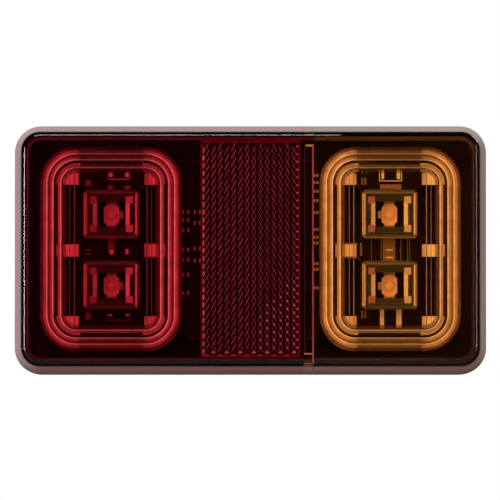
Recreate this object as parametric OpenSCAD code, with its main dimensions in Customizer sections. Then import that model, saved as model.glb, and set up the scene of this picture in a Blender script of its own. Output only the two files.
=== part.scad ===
// Surface-mounted rear lamp for a trailer: a red stop and tail lens, a reflex reflector
// and an amber indicator lens in one sealed housing, with two LEDs behind each lens.
// X is to the right, Z is up and the lens faces -Y. Y = 0 is the plane it is mounted on.
// Modules draw in a plan of their own, with X right, Y up and Z forward from the mounting
// plane, and face_on() stands that plan upright.

/* [Lamp] */
// Height over the lens
lamp_h = 79; // [76:1:90]
// Depth from the mounting plane to the front of the lens
lamp_d = 27; // [25:0.5:34]
// Radius of the lens's corners, seen from the front
corner_r = 8.4; // [8:0.1:12]

/* [Lens] */
// Thickness of the lens
lens_t = 2.4; // [2:0.1:3]
// Draft of the lens's side walls, in degrees
lens_draft = 10; // [6:1:12]
// Height above the mounting plane at which the draft starts
skirt_top = 12; // [10:0.5:14]
// Radius of the edge between the side walls and the front
edge_r = 2; // [1.2:0.1:2.4]
// Width over which the amber lens laps over the red one
lap_w = 3.2; // [2.4:0.1:4]
// Clearance between pieces that are seated face to face
seat_gap = 0.05; // [0.02:0.01:0.1]

/* [Lens optics] */
// Width of the stepped window
optic_w = 44.6; // [42:0.2:54]
// Distance from the lamp's end to the stepped window
optic_side = 8.5; // [7.5:0.1:12]
// Distance from the stepped window to the reflex reflector
optic_gap = 6.8; // [6.2:0.1:12]
// Distance from the lamp's top and bottom to the stepped window
optic_top = 7.3; // [6.8:0.1:9]
// Corner radius of the outermost step
optic_r = 11.4; // [10:0.2:13]
// Number of steps
step_count = 3; // [2:1:4]
// Width of a step
step_w = 2.06; // [1.8:0.02:2.2]
// Depth of a step
step_d = 1; // [0.6:0.1:1.2]
// Width that a step's riser takes
riser_w = 0.9; // [0.5:0.1:1]
// Distance from the window's middle to the inner edge of its upright bars
bar_x = 11.6; // [10:0.2:12.5]
// Width of an upright bar
bar_w = 1.6; // [1:0.1:2]
// Height of an upright bar
bar_d = 0.35; // [0.2:0.05:0.6]

/* [Reflex reflector] */
// Width of the reflector
reflex_w = 30.2; // [26:0.2:31]
// Distance from the lamp's top and bottom to the reflector
reflex_top = 5.8; // [5.6:0.1:8]
// Thickness of the reflector in front of its prisms
reflex_t = 1.2; // [0.8:0.1:2]
// Width of a corner-cube prism across its flats
prism_w = 2.45; // [2.2:0.05:3.2]
// Wall of the cap behind the prisms
cap_t = 1; // [0.8:0.1:1.4]
// Distance from the reflector to the divider beside it
divider_gap = 1.7; // [1.4:0.1:2]

/* [Housing] */
// Height of the flange that the lens sits on
flange_d = 6; // [5:0.5:8]
// Thickness of the housing's floor
floor_t = 3; // [2.4:0.1:3.4]
// Depth of the recess in the back
recess_d = 1; // [0.6:0.1:1.2]
// Width of the flat land round the back
land_w = 7; // [6:0.5:9]
// Height of the wall that stands inside the lens
upstand_d = 11; // [9:0.5:13]
// Thickness of that wall
upstand_t = 1.8; // [1.4:0.1:2.2]
// Depth of the seal's groove
groove_d = 1.6; // [1.2:0.1:2]
// Width of the lip outside the seal's groove
lip_w = 0.9; // [0.7:0.1:1.2]

/* [Fixing studs] */
// Distance from the lamp's end to a stud
stud_inset = 25; // [20:0.5:35]
// Diameter of a stud
stud_dia = 5; // [4:0.5:6]
// Length of a stud behind the mounting plane
stud_len = 18; // [12:1:30]
// Width across the flats of a stud's head
head_af = 8; // [7.6:0.2:9]
// Thickness of a stud's head
head_t = 3.2; // [2.5:0.1:3.6]

/* [Cable entry] */
// Diameter of the hole for the cable
cable_dia = 5.8; // [4:0.2:7]
// Wall between the cable's hole and the grommet's waist
waist_wall = 3.1; // [2.4:0.1:4]
// How far the grommet's collars reach past its waist
collar_w = 2; // [1.5:0.1:3]
// Length of the grommet behind the mounting plane
nose_len = 6; // [4:0.5:10]

/* [Electronics] */
// Height of the boards' back above the mounting plane
board_z = 10; // [9:0.5:11]
// Thickness of a board
board_t = 1.6; // [1:0.1:2]
// How far an LED board reaches past its collimators
board_side = 1.65; // [1:0.05:2.5]
// Height of the driver board
driver_h = 56.6; // [54:0.2:60]
// Clearance between the driver board and the carriers beside it
board_gap = 0.3; // [0.2:0.05:0.6]
// Distance between the two LEDs of a lens
led_pitch = 22.6; // [20:0.2:24]
// Width of an LED
led_w = 4.9; // [4:0.1:5.6]
// Height of an LED
led_h = 7.1; // [6:0.1:7.4]
// Thickness of an LED
led_t = 1.3; // [0.8:0.1:2]
// Width of a collimator
coll_w = 17.5; // [16.5:0.1:18.5]
// Height of a collimator
coll_h = 15.4; // [14.5:0.1:17]
// Depth of a collimator
coll_d = 6.4; // [5:0.2:7.5]

/* [LED carriers] */
// Thickness of a carrier's floor
carrier_t = 1.6; // [1.2:0.1:2.2]
// Thickness of a carrier's wall
carrier_wall = 1.2; // [0.9:0.1:1.6]
// Height of a carrier's wall above its floor
carrier_rim = 4; // [2:0.5:8]
// Height of the bar between a carrier's windows
crossbar_h = 3.9; // [3:0.1:5]
// Height of a window in a carrier
window_h = 19; // [16:0.2:20]
// Diameter of a carrier's legs
leg_dia = 4.4; // [3.6:0.1:5]

/* [Hidden] */

$fn = 64;
sink = 0.4; // how far joined shapes reach into each other
cut = 1; // how far a cutting shape reaches past what it cuts

// Lens
lens_back = lamp_d - lens_t;
lens_seat = flange_d + seat_gap;
arc_steps = 8;
divider_x = reflex_w / 2 + divider_gap;
red_end = divider_x + lap_w;

// Stepped windows
optic_h = lamp_h - 2 * optic_top;
optic_x = reflex_w / 2 + optic_gap + optic_w / 2;
lamp_w = 2 * (optic_x + optic_w / 2 + optic_side);
steps_back = lens_back - step_count * step_d;
window_in = step_count * step_w + riser_w;
mark_r = 1.15;
mark_d = 0.15;

// Reflex reflector: a cube seen along its diagonal is a hexagon
reflex_h = lamp_h - 2 * reflex_top;
reflex_front = lens_back - seat_gap;
hex_r = prism_w / sqrt(3);
cube_edge = hex_r / sqrt(2 / 3);
prism_step = cube_edge / sqrt(3);
column_w = prism_w * sqrt(3) / 2;
plate_back = reflex_front - reflex_t;
prism_back = plate_back - 2 * prism_step;
prism_columns = ceil(reflex_w / column_w) + 1;
prism_rows = ceil(reflex_h / prism_w) + 1;
prism_air = 0.3;
cap_rim = 0.6;

// Housing, with radii measured from the centres of the lamp's corners
upstand_out = corner_r - lens_t - 0.15;
upstand_in = upstand_out - upstand_t;
rear_chamfer = 0.8;
stud_x = lamp_w / 2 - stud_inset;
stud_r = stud_dia / 2;
neck_r = stud_r + 0.6;
neck_fit = 0.1;
head_fit = 0.1;
head_wall = 2;
head_r = head_af / 2 / cos(30);
cable_r = cable_dia / 2;
waist_r = cable_r + waist_wall;
collar_r = waist_r + collar_w;
collar_t = 1.8;
collar_edge = 0.8;
nose_wall = 1.6;
stud_tip = 0.6;
pad_w = 3;
recess_r = max(corner_r - land_w, 1) + 1;
rib_w = 1.6;
rib_x = stud_x / 2;

board_front = board_z + board_t;
led_board_w = coll_w + 2 * board_side;

// Carriers
carrier_back = board_z - carrier_t;
carrier_w = optic_w - 0.4;
carrier_h = optic_h - 0.4;
carrier_r = optic_r - 0.2;
carrier_top = board_z + carrier_rim;
window_x = coll_w / 2 + 0.3;
window_out = carrier_w / 2 - carrier_wall - 0.9;
window_cut = led_board_w / 2 - window_x;
leg_r = leg_dia / 2;
leg_x = (led_board_w + optic_w) / 4;
leg_y = (crossbar_h / 2 + window_h + optic_h / 2) / 2;
leg_fit = 0.05;
socket_wall = 1.3;
socket_top = carrier_back - 1.2;
board_fit = 0.1;
hook_w = 3;
hook_t = 0.9;
hook_over = 0.5;
hook_y = leg_y;
jumper_w = 5;
jumper_t = 0.6;
jumper_fit = 0.2;
jumper_end = 2.5;
jumper_in = led_board_w / 2 - jumper_end;
jumper_back = carrier_back - 0.5 - jumper_t;

// Boards
led_board_h = optic_h + 0.6;
driver_w = 2 * (optic_x - carrier_w / 2 - board_gap);
driver_r = 2;
screw_x = 11;
screw_y = driver_h / 2 - 4.5;
screw_r = 1.25;
screw_fit = 0.05;
screw_head_r = 2.2;
screw_head_t = 1.6;
screw_len = 6;
recess_l = 2.4;
recess_w = 0.6;
boss_r = 3;

// Collimators and LEDs
coll_r = 1.4;
coll_wall = 1.1;
coll_frame_w = coll_w - 3.8;
coll_frame_h = coll_h - 4.1;
post_w = 2.2;
eye_w = coll_w - 8.4;
eye_h = coll_h - 7.2;
eye_rim = 0.3;
facet_w = 1.3;
facet_angle = 22.5;
facet_rise = tan(facet_angle);
shelf_z = 1.6;
shelf_t = 1;
frame_top = coll_d - 1.8;
rim_top = coll_d - 1;
bevel = 0.5;
led_cut = 1.3;
dome_r = 1.9;
dome_h = 0.8;
dome_ball = (dome_r * dome_r + dome_h * dome_h) / (2 * dome_h);
tab_w = 3.5;
tab_h = 1.4;
lead_w = 1.6;
lead_h = 2.4;
lead_t = 0.3;

// Parts on the driver board
chip_l = 2;
chip_w = 1.2;
chip_t = 0.6;
chip_inner = [12.2, 8.7, 0.5, -3.3]; // heights of the parts in each column
chip_outer = [12.2, 9.6, 6.4, 0.2, -3, -7.8, -13.6];
chip_edge = 0.2;
cap_l = 1.6;
cap_w = 0.9;
cap_h = 0.8;
cap_rows = [23.8, 21.6, 18.8, 15.8, 12, 6.6, 4.1, 2.3, -4.3, -6.1, -12];
diode_l = 4.4;
diode_w = 2.6;
diode_t = 2.1;
diode_y = 14;
reg_x = 7;
reg_w = 6.6;
reg_h = 6.1;
reg_t = 2.3;
reg_tab = 1.2;
reg_lead = 0.8;
reg_reach = 1.6;
terminal_pitch = 3;
terminal_h = 6;
terminal_d = 5;
wire_r = 1.1;

module face_on() rotate([90, 0, 0]) children();

module round_rect(w, h, r) {
  square([w - 2 * r, h], center = true);
  square([w, h - 2 * r], center = true);
  for (x = [-1, 1], y = [-1, 1]) translate([x * (w / 2 - r), y * (h / 2 - r)]) circle(r);
}

module slab(w, h, r, from, to) {
  translate([0, 0, from]) linear_extrude(to - from) round_rect(w, h, r);
}

module block(w, h, from, to) {
  translate([-w / 2, -h / 2, from]) cube([w, h, to - from]);
}

module post(r, from, to) {
  translate([0, 0, from]) cylinder(r = r, h = to - from);
}

// Carries an upright profile round a rectangle whose corners have radius r. In the
// profile, x runs outward from the corner's centre and y runs forward.
module sweep_round(w, h, r) {
  for (i = [0 : 3]) {
    side = (i % 2 == 0 ? w : h) / 2 - r;
    half = (i % 2 == 0 ? h : w) / 2 - r;
    rotate([0, 0, 90 * i]) translate([side, half, 0]) {
      rotate([90, 0, 0]) linear_extrude(2 * half) children();
      rotate_extrude(angle = 90) children();
    }
  }
}

// Lens

// Half of the lens's section, inset from its outer surface
function lens_section(inset, back) =
  let (
    front = lamp_d - inset,
    r = max(edge_r - inset, 0.6),
    foot = skirt_top - inset * tan(lens_draft / 2),
    wall = corner_r - inset,
    rise = front - r + r * sin(lens_draft) - foot,
    arc_x = wall - r * cos(lens_draft) - rise * tan(lens_draft),
    turn = (90 - lens_draft) / arc_steps
  )
  [
    [0, back], [wall, back], [wall, foot],
    for (i = [0 : arc_steps])
      let (a = lens_draft + i * turn) [arc_x + r * cos(a), front - r + r * sin(a)],
    [0, front]
  ];

module lens_body(inset, back) {
  sweep_round(lamp_w, lamp_h, corner_r) polygon(lens_section(inset, back));
  block(lamp_w - 2 * corner_r + sink, lamp_h - 2 * corner_r + sink, back, lamp_d - inset);
}

module lens_shell() {
  difference() {
    lens_body(0, lens_seat);
    lens_body(lens_t, lens_seat - cut);
  }
}

// The steps' section: each tread lies deeper than the one outside it
function step_section() = [
  [optic_r, lens_back + sink],
  for (k = [0 : step_count - 1]) each [
    [optic_r - k * step_w, lens_back - k * step_d],
    [optic_r - k * step_w - riser_w, lens_back - (k + 1) * step_d]
  ],
  [optic_r - step_count * step_w, steps_back],
  [optic_r - window_in, lens_back],
  [optic_r - window_in, lens_back + sink]
];

module stepped_window(x) {
  translate([x, 0, 0]) {
    sweep_round(optic_w, optic_h, optic_r) polygon(step_section());
    for (s = [-1, 1]) translate([s * (bar_x + bar_w / 2), 0, 0])
      block(bar_w, optic_h - 2 * window_in + sink, lens_back - bar_d, lens_back + sink);
  }
}

module span(from, to, back) {
  translate([from, -lamp_h, back]) cube([to - from, 2 * lamp_h, 2 * lamp_d]);
}

module lens_red() {
  color("darkred") face_on() {
    difference() {
      union() {
        intersection() {
          lens_shell();
          span(-lamp_w, divider_x - seat_gap, 0);
        }
        intersection() {
          difference() {
            lens_body(lens_t / 2 + seat_gap, lens_seat);
            lens_body(lens_t, lens_seat - cut);
          }
          span(divider_x - sink, red_end, 0);
        }
        stepped_window(-optic_x);
        translate([red_end - lap_w / 2, 0, 0])
          block(lap_w, reflex_h, board_front + 1, lens_back + sink);
      }
      translate([-(reflex_w / 2 + 4.4), reflex_h / 2 - 0.8, 0])
        post(mark_r, lens_back - cut, lens_back + mark_d);
    }
  }
}

module lens_amber() {
  color("orange") face_on() {
    intersection() {
      difference() {
        lens_body(0, lens_seat);
        lens_body(lens_t / 2, lens_seat - cut);
      }
      span(divider_x, red_end + seat_gap + sink, 0);
    }
    intersection() {
      lens_shell();
      span(red_end + seat_gap, lamp_w, 0);
    }
    stepped_window(optic_x);
  }
}

module lens_seal() {
  color("dimgray") face_on()
    sweep_round(lamp_w, lamp_h, corner_r)
      translate([upstand_out, flange_d - groove_d])
        square([corner_r - lip_w - upstand_out, groove_d]);
}

// Reflex reflector

// The prisms stand in columns, and every second column is half a prism higher
function prism_x(c) = (c - (prism_columns - 1) / 2) * column_w;
function prism_y(c, k) = (k - prism_rows / 2 + (c % 2 == 0 ? 0.25 : 0.75)) * prism_w;

// Corner i of a prism's hexagon: every second corner lies a step further forward
function prism_corner(c, k, i, z) =
  [prism_x(c) + hex_r * cos(60 * i), prism_y(c, k) + hex_r * sin(60 * i), z];

// The prism that shares edge i
function across(c, k, i) =
  i == 1 ? [c, k + 1] :
  i == 4 ? [c, k - 1] :
  [c + (i == 0 || i == 5 ? 1 : -1), k + (i < 3 ? 0 : -1) + c % 2];

function outside(p) =
  p[0] < 0 || p[0] >= prism_columns || p[1] < 0 || p[1] >= prism_rows;

// Corner cubes as one solid: each has three square facets that meet at its rearmost point,
// a flat front inside the plate, and walls only where it has no neighbour
module prisms() {
  cells = [for (c = [0 : prism_columns - 1], k = [0 : prism_rows - 1]) [c, k]];
  points = [
    for (p = cells) each concat(
      [[prism_x(p[0]), prism_y(p[0], p[1]), prism_back]],
      [for (i = [0 : 5]) prism_corner(p[0], p[1], i, prism_back + (i % 2 + 1) * prism_step)],
      [for (i = [0 : 5]) prism_corner(p[0], p[1], i, plate_back + sink)]
    )
  ];
  faces = [
    for (n = [0 : len(cells) - 1]) let (o = 13 * n) each concat(
      [for (i = [0, 2, 4]) [o, o + 1 + i, o + 2 + i, o + 1 + (i + 2) % 6]],
      [[for (i = [5 : -1 : 0]) o + 7 + i]],
      [
        for (i = [0 : 5]) let (j = (i + 1) % 6)
          if (outside(across(cells[n][0], cells[n][1], i)))
            [o + 1 + i, o + 7 + i, o + 7 + j, o + 1 + j]
      ]
    )
  ];
  polyhedron(points, faces);
}

module reflex_reflector() {
  color("firebrick") face_on() {
    block(reflex_w, reflex_h, plate_back, reflex_front);
    intersection() {
      prisms();
      block(reflex_w, reflex_h, prism_back - cut, reflex_front);
    }
  }
}

module reflex_cap() {
  wide = reflex_w + 2 * seat_gap;
  high = reflex_h + 2 * seat_gap;
  color("black") face_on() difference() {
    block(wide + 2 * cap_rim, high + 2 * cap_rim, prism_back - prism_air - cap_t, reflex_front);
    block(wide, high, prism_back - prism_air, reflex_front + cut);
  }
}

// Housing

function housing_section() = [
  [upstand_in, 0], [corner_r - rear_chamfer, 0], [corner_r, rear_chamfer],
  [corner_r, flange_d], [corner_r - lip_w, flange_d],
  [corner_r - lip_w, flange_d - groove_d], [upstand_out, flange_d - groove_d],
  [upstand_out, upstand_d], [upstand_in, upstand_d]
];

module at_studs() {
  for (s = [-1, 1]) translate([s * stud_x, 0, 0]) children();
}

module at_legs() {
  for (s = [-1, 1], x = [-1, 1], y = [-1, 1])
    translate([s * optic_x + x * leg_x, y * leg_y, 0]) children();
}

module at_screws() {
  for (x = [-1, 1], y = [-1, 1]) translate([x * screw_x, y * screw_y, 0]) children();
}

// What stays level with the land inside the recessed back: a pad round each stud and
// round the grommet, and ribs between them
module back_ribs() {
  at_studs() post(head_r + head_wall, -cut, recess_d + sink);
  post(waist_r + pad_w, -cut, recess_d + sink);
  block(2 * stud_x, rib_w, -cut, recess_d + sink);
  for (x = [-rib_x, rib_x]) translate([x, 0, 0]) block(rib_w, lamp_h, -cut, recess_d + sink);
}

module base_housing() {
  inner_w = lamp_w - 2 * (corner_r - upstand_in);
  inner_h = lamp_h - 2 * (corner_r - upstand_in);
  color([0.09, 0.09, 0.1]) face_on() difference() {
    union() {
      sweep_round(lamp_w, lamp_h, corner_r) polygon(housing_section());
      slab(inner_w + 2 * sink, inner_h + 2 * sink, upstand_in + sink, 0, floor_t);
      at_studs() post(head_r + head_wall, floor_t - sink, floor_t + head_t);
      at_legs() post(leg_r + leg_fit + socket_wall, floor_t - sink, socket_top);
      at_screws() post(boss_r, floor_t - sink, board_z);
    }
    difference() {
      slab(lamp_w - 2 * land_w, lamp_h - 2 * land_w, recess_r, -cut, recess_d);
      back_ribs();
    }
    at_studs() {
      post(neck_r + neck_fit, -cut, floor_t + cut);
      translate([0, 0, floor_t]) cylinder(r = head_r + head_fit, h = head_t + cut, $fn = 6);
    }
    at_legs() post(leg_r + leg_fit, floor_t, socket_top + cut);
    at_screws() post(screw_r + screw_fit, board_z - screw_len, board_z + cut);
    post(waist_r + seat_gap, -cut, floor_t + cut);
  }
}

// Turned section: a shank with a bevelled tip and a neck in the housing's floor
function stud_section() = [
  [0, -stud_len], [stud_r - stud_tip, -stud_len], [stud_r, stud_tip - stud_len],
  [stud_r, seat_gap], [neck_r, seat_gap], [neck_r, floor_t + sink], [0, floor_t + sink]
];

module stud(s) {
  color("goldenrod") face_on() translate([s * stud_x, 0, 0]) {
    rotate_extrude() polygon(stud_section());
    translate([0, 0, floor_t]) cylinder(r = head_r, h = head_t, $fn = 6);
  }
}

// Turned section: a tapered nose behind the panel, a waist in the housing's floor and a
// collar inside it
module cable_grommet() {
  color([0.13, 0.13, 0.13]) face_on() rotate_extrude() polygon([
    [cable_r, -nose_len], [cable_r + nose_wall, -nose_len], [collar_r - collar_edge, -collar_t],
    [collar_r, -collar_t / 2], [collar_r, -seat_gap], [waist_r, -seat_gap],
    [waist_r, floor_t + seat_gap], [collar_r, floor_t + seat_gap],
    [collar_r - collar_edge, floor_t + collar_t], [cable_r, floor_t + collar_t]
  ]);
}

// LED boards and carriers

// The windows beside each LED, right through a carrier's floor and the board on it
module windows(from, to) {
  low = crossbar_h / 2;
  high = low + window_h;
  for (x = [0, 1], y = [0, 1]) mirror([x, 0, 0]) mirror([0, y, 0])
    translate([0, 0, from]) linear_extrude(to - from) polygon([
      [window_x, low + window_cut], [window_x + window_cut, low], [window_out, low],
      [window_out, high], [window_x + window_cut, high], [window_x, high - window_cut]
    ]);
}

module carrier(s) {
  color("whitesmoke") face_on() translate([s * optic_x, 0, 0]) {
    difference() {
      slab(carrier_w, carrier_h, carrier_r, carrier_back, carrier_top);
      slab(carrier_w - 2 * carrier_wall, carrier_h - 2 * carrier_wall,
        carrier_r - carrier_wall, board_z, carrier_top + cut);
      windows(carrier_back - cut, board_z + cut);
      block(led_board_w + 2 * board_fit, 2 * carrier_h, board_z, carrier_top + cut);
      translate([-s * jumper_in, 0, 0])
        block(jumper_t + 2 * jumper_fit, jumper_w + 2 * jumper_fit, carrier_back - cut, board_z + cut);
    }
    for (x = [-1, 1], y = [-1, 1]) {
      translate([x * leg_x, y * leg_y, 0]) post(leg_r, floor_t + seat_gap, carrier_back + sink);
      translate([x * (led_board_w / 2 + board_fit + hook_t / 2), y * hook_y, 0])
        block(hook_t, hook_w, board_z - sink, board_front + hook_t);
      translate([x * (led_board_w / 2 - hook_over / 2 + hook_t / 2), y * hook_y, 0])
        block(hook_t + hook_over, hook_w, board_front + seat_gap, board_front + hook_t);
    }
  }
}

module led_board(s) {
  color([0.1, 0.16, 0.12]) face_on() translate([s * optic_x, 0, 0]) difference() {
    block(led_board_w, led_board_h, board_z, board_front);
    windows(board_z - cut, board_front + cut);
  }
}

module driver_board() {
  color([0.1, 0.16, 0.12]) face_on() difference() {
    slab(driver_w, driver_h, driver_r, board_z, board_front);
    at_screws() post(screw_r + screw_fit, board_z - cut, board_front + cut);
  }
}

module board_screws() {
  color("silver") face_on() at_screws() difference() {
    union() {
      post(screw_r, board_z - screw_len + seat_gap, board_front + sink);
      post(screw_head_r, board_front, board_front + screw_head_t);
    }
    translate([0, 0, board_front + screw_head_t / 2])
      for (a = [0, 90]) rotate([0, 0, a]) block(recess_l, recess_w, 0, screw_head_t);
  }
}

// Flat conductors under the carriers, from the driver board's back to each LED board's
module board_jumpers() {
  out = optic_x - jumper_in;
  in = driver_w / 2 - jumper_end;
  color("sienna") face_on() for (s = [0, 1]) mirror([s, 0, 0]) {
    translate([(in + out) / 2, 0, 0])
      block(out - in + jumper_t, jumper_w, jumper_back, jumper_back + jumper_t);
    for (x = [in, out]) translate([x, 0, 0])
      block(jumper_t, jumper_w, jumper_back, board_z - seat_gap);
  }
}

// Optics on the LED boards

module at_led(s, y) {
  translate([s * optic_x, y * led_pitch / 2, board_front]) children();
}

module octagon(w, h, c) {
  polygon([
    [w / 2, h / 2 - c], [w / 2 - c, h / 2], [c - w / 2, h / 2], [-w / 2, h / 2 - c],
    [-w / 2, c - h / 2], [c - w / 2, -h / 2], [w / 2 - c, -h / 2], [w / 2, c - h / 2]
  ]);
}

module led(s, y) {
  color("khaki") face_on() at_led(s, y) {
    linear_extrude(led_t) octagon(led_w, led_h, led_cut);
    translate([0, 0, led_t + dome_h - dome_ball]) intersection() {
      sphere(dome_ball);
      block(2 * dome_ball, 2 * dome_ball, dome_ball - dome_h - sink / 2, dome_ball);
    }
    translate([-s * (led_w / 2 + lead_w / 2 - sink), 0, 0]) block(lead_w, lead_h, 0, lead_t);
    for (t = [-1, 1]) translate([0, t * (led_h / 2 + tab_h / 2 - sink), 0])
      block(tab_w, tab_h, 0, lead_t);
  }
}

// Section of the collimator's outer wall, whose front edge slopes to both sides of a narrow flat
function collimator_section() =
  let (inside = coll_r - coll_wall, low = coll_d - bevel * facet_rise)
  [
    [inside, 0], [coll_r, 0], [coll_r, low], [coll_r - bevel, coll_d],
    [inside + bevel, coll_d], [inside, low]
  ];

// The opening over an LED, whose left and right sides are facets that lean back
module eye() {
  for (s = [0, 1]) mirror([s, 0, 0])
    rotate([90, 0, 0]) linear_extrude(eye_h, center = true) polygon([
      [-sink, -cut], [eye_w / 2, -cut], [eye_w / 2, rim_top - facet_w * facet_rise],
      [eye_w / 2 + facet_w, rim_top], [eye_w / 2 + facet_w, coll_d + cut], [-sink, coll_d + cut]
    ]);
}

// A square guide round each LED: an outer wall, a moat, and an inner frame with an eye over
// the LED and a foot in each corner
module collimator(s, y) {
  color("lightgray") face_on() at_led(s, y) {
    sweep_round(coll_w, coll_h, coll_r) polygon(collimator_section());
    difference() {
      union() {
        block(coll_w - 2 * coll_wall + 0.2, coll_h - 2 * coll_wall + 0.2, shelf_z, shelf_z + shelf_t);
        block(coll_frame_w, coll_frame_h, shelf_z, frame_top);
        block(eye_w + 2 * (facet_w + eye_rim), eye_h, shelf_z, rim_top);
        block(eye_w + 2 * eye_rim, eye_h + 2 * eye_rim, shelf_z, rim_top);
      }
      eye();
    }
    for (a = [-1, 1], b = [-1, 1])
      translate([a * (coll_frame_w - post_w) / 2, b * (coll_frame_h - post_w) / 2, 0])
        block(post_w, post_w, 0, rim_top);
  }
}

// Parts on the driver board

module chip_column(x, rows, l, w, t) {
  for (y = rows) translate([x, y, board_front]) block(l, w, 0, t);
}

module chip_resistors() {
  outer = driver_w / 2 - chip_edge - chip_l / 2;
  inner = reflex_w / 2 + cap_rim + chip_edge + chip_l / 2;
  color("dimgray") face_on() {
    chip_column(-inner, chip_inner, chip_l, chip_w, chip_t);
    chip_column(-outer, chip_outer, chip_l, chip_w, chip_t);
  }
}

module chip_capacitors() {
  color("burlywood") face_on()
    chip_column(driver_w / 2 - chip_edge - cap_l / 2, cap_rows, cap_l, cap_w, cap_h);
}

module diodes() {
  color([0.15, 0.15, 0.15]) face_on()
    for (y = [-1, 1]) translate([0, y * diode_y, board_front]) block(diode_l, diode_w, 0, diode_t);
}

// Each regulator has a tab at its upper edge and two leads at its lower one
module regulators() {
  color([0.12, 0.12, 0.12]) face_on()
    for (x = [-1, 1]) translate([x * reg_x, 0, board_front]) {
      block(reg_w, reg_h, 0, reg_t);
      translate([0, reg_h / 2, 0]) block(reg_w - reg_tab, 2 * reg_tab, 0, lead_t);
      for (t = [-1, 1]) translate([t * reg_w / 3, -reg_h / 2, 0])
        block(reg_lead, 2 * reg_reach, 0, lead_t);
    }
}

// Four wires enter from below, behind the driver board
module wire_terminal() {
  color("ivory") face_on() translate([0, -screw_y / 2, 0]) difference() {
    block(4 * terminal_pitch + 1, terminal_h, board_z - terminal_d, board_z - seat_gap);
    for (k = [-1.5 : 1 : 1.5])
      translate([k * terminal_pitch, cut - terminal_h / 2, board_z - terminal_d / 2])
        rotate([90, 0, 0]) cylinder(r = wire_r, h = terminal_h, center = true);
  }
}

base_housing();
lens_red();
lens_amber();
lens_seal();
reflex_reflector();
reflex_cap();
carrier(-1);  // carrier_red
carrier(1);  // carrier_amber
led_board(-1);  // led_board_red
led_board(1);  // led_board_amber
driver_board();
led(-1, 1);  // led_red_upper
led(-1, -1);  // led_red_lower
led(1, 1);  // led_amber_upper
led(1, -1);  // led_amber_lower
collimator(-1, 1);  // collimator_red_upper
collimator(-1, -1);  // collimator_red_lower
collimator(1, 1);  // collimator_amber_upper
collimator(1, -1);  // collimator_amber_lower
chip_resistors();
chip_capacitors();
diodes();
regulators();
board_jumpers();
wire_terminal();
board_screws();
stud(-1);  // stud_left
stud(1);  // stud_right
cable_grommet();
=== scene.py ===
"""Looks of a trailer's rear lamp: its tinted lenses, reflex prisms, boards, pads and studs.

X is to the right, Z is up and the lens faces -Y. Sizes are metres unless a name ends in _MM.
"""

import math

import bmesh
import bpy
from mathutils import Matrix, Vector


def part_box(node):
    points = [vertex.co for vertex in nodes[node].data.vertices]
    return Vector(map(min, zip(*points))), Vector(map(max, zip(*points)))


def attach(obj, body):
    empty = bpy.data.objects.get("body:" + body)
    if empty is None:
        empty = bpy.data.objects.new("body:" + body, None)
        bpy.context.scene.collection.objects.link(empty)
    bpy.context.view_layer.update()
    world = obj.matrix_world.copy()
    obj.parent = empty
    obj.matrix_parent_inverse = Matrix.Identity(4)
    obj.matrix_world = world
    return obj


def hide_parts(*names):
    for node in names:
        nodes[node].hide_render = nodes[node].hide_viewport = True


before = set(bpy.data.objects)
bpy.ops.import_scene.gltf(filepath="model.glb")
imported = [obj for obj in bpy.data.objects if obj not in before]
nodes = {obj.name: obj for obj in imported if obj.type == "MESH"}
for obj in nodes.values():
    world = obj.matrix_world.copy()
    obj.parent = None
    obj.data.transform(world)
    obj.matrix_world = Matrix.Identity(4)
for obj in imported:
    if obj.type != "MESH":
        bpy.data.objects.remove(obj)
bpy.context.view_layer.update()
MM = 0.001

# Places that the model gives
REFLEX_MIN, REFLEX_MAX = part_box("reflex_reflector")
BOARD_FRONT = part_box("led_board_red")[0].y
DRIVER_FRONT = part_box("driver_board")[0].y

# Camera: straight on to the lens, from a little below
CAMERA_AWAY = 2.15
CAMERA_BELOW_DEG = 1.9
AIM = (-0.14 * MM, -9 * MM, 0.2 * MM)
VIEW_WIDTH = 0.1594
SENSOR_MM = 36.0

# Lens tints for one whole wall, and what lamps lose at each of its two faces
RED_TINT = (0.75, 0.142, 0.168)
AMBER_TINT = (0.98, 0.60, 0.25)
REFLEX_TINT = (0.80, 0.20, 0.24)
LENS_IOR = 1.49

# Stepped windows, seen from the front: middles, outer half sizes and corner radius, the width
# that the steps' painted light takes inside that outline, and where its level stretches end and
# turn
OPTIC_X = 44.2 * MM
OPTIC_HALF = (22.3 * MM, 32.2 * MM)
OPTIC_CORNER = 11.4 * MM
STEPS_WIDTH = 8.2 * MM
LEVEL_ENDS = (9.5 * MM, 15.5 * MM)
# Painted highlights along the bars' edges: places and widths from a window's middle, and half their
# length; painted-light films lie at IN_WALL in the lens wall, FILM thick
BAR_EDGES = ((11.5 * MM, 0.30 * MM), (12.95 * MM, 0.17 * MM))
BAR_HALF = 26.2 * MM
IN_WALL = -24.85 * MM
FILM = 0.03 * MM

# LED guides: where the feet's tops are, from the middle of a guide
LED_Z = 11.3 * MM
FOOT = (5.75 * MM, 4.55 * MM)
FOOT_HALF = 1.1 * MM
FOOT_FRONT = -16.9 * MM

# Painted light in the lens's side walls and along its inner edge, seen from the front
RIM_OUT = (74.4 * MM, 38.9 * MM, 7.9 * MM, -12.5 * MM)
RIM_IN = (72.5 * MM, 37.0 * MM, 6.0 * MM, -23.4 * MM)
INNER_EDGE = (70.75 * MM, 35.1 * MM, 4.8 * MM, 0.4 * MM)
RED_END = 19.6 * MM
AMBER_START = 19.9 * MM
LAP_START = 16.6 * MM

# Fixing studs: radius over the thread and under it, pitch, neck's radius and head's thickness
STUD_R = 2.5 * MM
STUD_CORE = 2.05 * MM
THREAD_PITCH = 0.8 * MM
NECK_R = 3.1 * MM
HEAD_T = 3.2 * MM
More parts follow.
